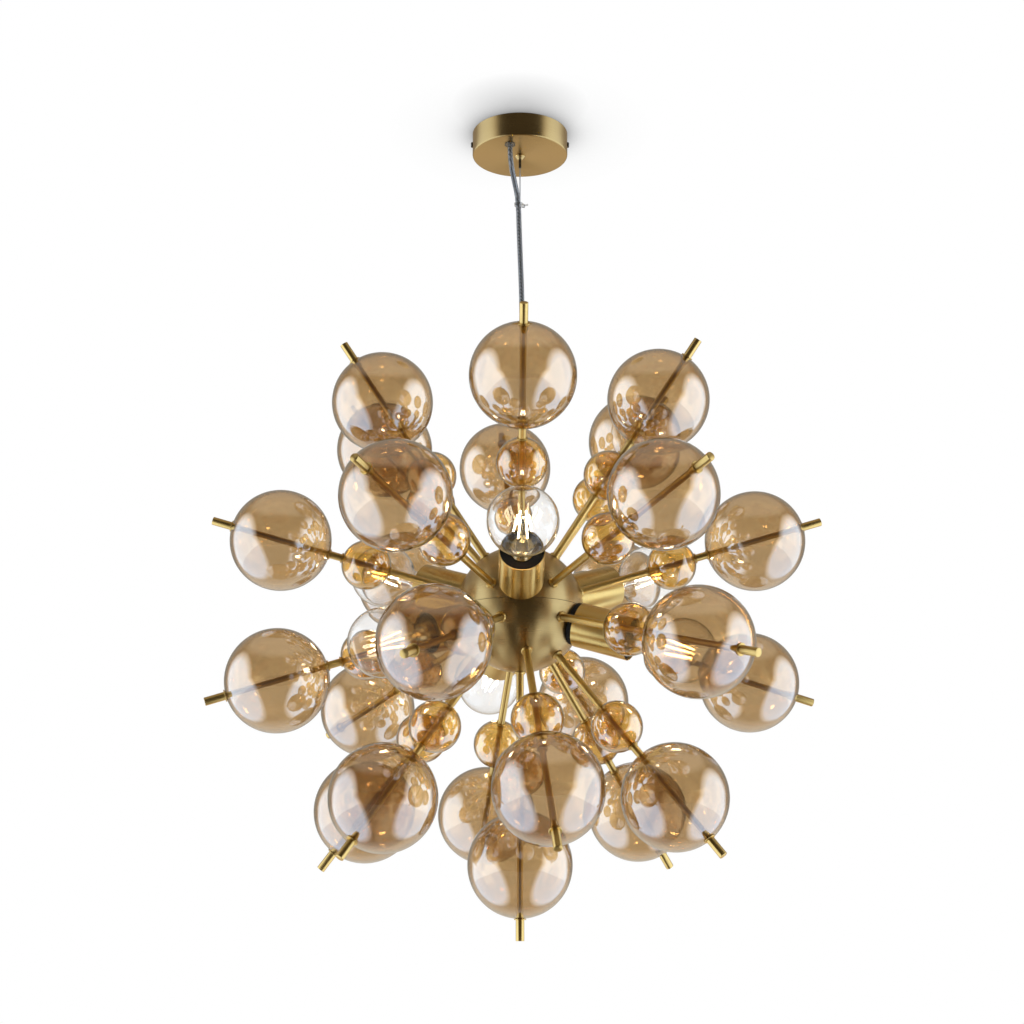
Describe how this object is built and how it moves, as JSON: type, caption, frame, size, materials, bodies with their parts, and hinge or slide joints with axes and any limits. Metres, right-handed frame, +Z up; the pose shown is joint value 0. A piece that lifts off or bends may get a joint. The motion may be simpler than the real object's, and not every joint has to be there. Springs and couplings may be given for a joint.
{
  "type": "sputnik chandelier",
  "caption": "Pendant chandelier: ball hub on a wire from a round ceiling cup, with radiating brass arms that each thread a small and a large amber glass globe, and globe lamps between.",
  "frame": {"origin": "centre of the ceiling cup on the ceiling plane", "axes": "+Z up, out of the ceiling face; +X along the bracket's slots; the pictured side faces -Y"},
  "size_m": [0.7305, 0.7016, 0.993],
  "materials": {
    "spun_brass": "spun satin, fine rings round the axis",
    "hub_brass": "satin",
    "arm_brass": "satin, brushed along the tube",
    "cup_brass": "satin, bright at the rim",
    "amber_glass": "clear amber, glossy",
    "black_holder": "matte",
    "zinc_steel": "zinc plated",
    "dark_screw": "blackened",
    "gripper_brass": "satin",
    "spring_steel": "bright",
    "clear_cable": "clear jacket, glossy",
    "contact_brass": "plain",
    "cap_brass": "polished",
    "bulb_glass": "clear, glossy",
    "filament": "warm glow"
  },
  "bodies": {
    "ceiling_mount": {"ceiling_bracket": "zinc_steel", "canopy_cup": "spun_brass", "canopy_side_screws": "dark_screw", "terminal_block": "black_holder", "canopy_cable_bush": "clear_cable", "gripper_body": "gripper_brass", "gripper_nut": "zinc_steel", "gripper_jaws": "gripper_brass", "gripper_spring": "spring_steel", "wire_clamped_end": "spring_steel"},
    "gripper_release": {"gripper_release": "dark_screw"},
    "suspension": {"suspension_wire": "spring_steel", "power_cable": "clear_cable", "cable_tie": "clear_cable", "swivel_plug": "zinc_steel", "wire_stop": "zinc_steel"},
    "pendant": {"hub_gland": "hub_brass", "hub_upper_shell": "hub_brass", "hub_lower_shell": "hub_brass", "hub_core_yoke": "zinc_steel", "hub_core_tube": "zinc_steel", "hub_junction_block": "black_holder", "lamp_nipples": "zinc_steel", "arm_nuts": "zinc_steel", "arm_collars": "arm_brass", "arm_rods": "arm_brass", "arm_sleeves": "arm_brass", "arm_spacers": "arm_brass", "arm_tips": "arm_brass", "upper_big_globes": "amber_glass", "lower_big_globes": "amber_glass", "upper_small_globes": "amber_glass", "lower_small_globes": "amber_glass", "lamp_cups": "cup_brass", "lamp_sockets": "black_holder"},
    "contact_1": {"bulb_1_contact": "contact_brass"},
    "bulb_1": {"bulb_1_cap": "cap_brass", "bulb_1_glass": "bulb_glass", "bulb_1_filament": "filament"},
    "contact_2": {"bulb_2_contact": "contact_brass"},
    "bulb_2": {"bulb_2_cap": "cap_brass", "bulb_2_glass": "bulb_glass", "bulb_2_filament": "filament"},
    "contact_3": {"bulb_3_contact": "contact_brass"},
    "bulb_3": {"bulb_3_cap": "cap_brass", "bulb_3_glass": "bulb_glass", "bulb_3_filament": "filament"},
    "contact_4": {"bulb_4_contact": "contact_brass"},
    "bulb_4": {"bulb_4_cap": "cap_brass", "bulb_4_glass": "bulb_glass", "bulb_4_filament": "filament"},
    "contact_5": {"bulb_5_contact": "contact_brass"},
    "bulb_5": {"bulb_5_cap": "cap_brass", "bulb_5_glass": "bulb_glass", "bulb_5_filament": "filament"},
    "contact_6": {"bulb_6_contact": "contact_brass"},
    "bulb_6": {"bulb_6_cap": "cap_brass", "bulb_6_glass": "bulb_glass", "bulb_6_filament": "filament"}
  },
  "joints": [
    {"name": "pendant_sway", "type": "hinge", "parent": "ceiling_mount", "child": "suspension", "pos_m": [0, 0, -0.04705], "axis": [0, 1, 0], "range_deg": [-15, 15], "deforming": ["power_cable"]},
    {"name": "pendant_turn", "type": "hinge", "parent": "suspension", "child": "pendant", "pos_m": [0, 0, -0.53], "axis": [0, 0, 1], "range_deg": [-180, 180]},
    {"name": "gripper_press", "type": "slide", "parent": "ceiling_mount", "child": "gripper_release", "axis": [0, 0, 1], "range_m": [0, 0.002], "stiffness_N_per_m": 400, "springref_m": -0.0005, "deforming": ["gripper_spring"]},
    {"name": "contact_1_travel", "type": "slide", "parent": "pendant", "child": "contact_1", "axis": [0.0166, -0.9536, 0.3007], "range_m": [0, 0.00364]},
    {"name": "bulb_1_turn", "type": "hinge", "parent": "contact_1", "child": "bulb_1", "pos_m": [0.00199, -0.11405, -0.57704], "axis": [0.0166, -0.9536, 0.3007], "range_deg": [0, 360]},
    {"name": "contact_2_travel", "type": "slide", "parent": "pendant", "child": "contact_2", "axis": [0.8088, 0.5054, 0.3007], "range_m": [0, 0.00364]},
    {"name": "bulb_2_turn", "type": "hinge", "parent": "contact_2", "child": "bulb_2", "pos_m": [0.09673, 0.06044, -0.57704], "axis": [0.8088, 0.5054, 0.3007], "range_deg": [0, 360]},
    {"name": "contact_3_travel", "type": "slide", "parent": "pendant", "child": "contact_3", "axis": [-0.8498, 0.433, 0.3007], "range_m": [0, 0.00364]},
    {"name": "bulb_3_turn", "type": "hinge", "parent": "contact_3", "child": "bulb_3", "pos_m": [-0.10163, 0.05178, -0.57704], "axis": [-0.8498, 0.433, 0.3007], "range_deg": [0, 360]},
    {"name": "contact_4_travel", "type": "slide", "parent": "pendant", "child": "contact_4", "axis": [-0.7617, -0.574, -0.3007], "range_m": [0, 0.00364]},
    {"name": "bulb_4_turn", "type": "hinge", "parent": "contact_4", "child": "bulb_4", "pos_m": [-0.0911, -0.06865, -0.64896], "axis": [-0.7617, -0.574, -0.3007], "range_deg": [0, 360]},
    {"name": "contact_5_travel", "type": "slide", "parent": "pendant", "child": "contact_5", "axis": [0.8962, -0.3262, -0.3007], "range_m": [0, 0.00364]},
    {"name": "bulb_5_turn", "type": "hinge", "parent": "contact_5", "child": "bulb_5", "pos_m": [0.11256, -0.04097, -0.65077], "axis": [0.8962, -0.3262, -0.3007], "range_deg": [0, 360]},
    {"name": "contact_6_travel", "type": "slide", "parent": "pendant", "child": "contact_6", "axis": [-0.1983, 0.9329, -0.3007], "range_m": [0, 0.00364]},
    {"name": "bulb_6_turn", "type": "hinge", "parent": "contact_6", "child": "bulb_6", "pos_m": [-0.02371, 0.11157, -0.64896], "axis": [-0.1983, 0.9329, -0.3007], "range_deg": [0, 360]}
  ],
  "couplings": [
    {"joint": "contact_1_travel", "follows": "bulb_1_turn", "m_per_rad": 0.00057757},
    {"joint": "contact_2_travel", "follows": "bulb_2_turn", "m_per_rad": 0.00057757},
    {"joint": "contact_3_travel", "follows": "bulb_3_turn", "m_per_rad": 0.00057757},
    {"joint": "contact_4_travel", "follows": "bulb_4_turn", "m_per_rad": 0.00057757},
    {"joint": "contact_5_travel", "follows": "bulb_5_turn", "m_per_rad": 0.00057757},
    {"joint": "contact_6_travel", "follows": "bulb_6_turn", "m_per_rad": 0.00057757}
  ]
}
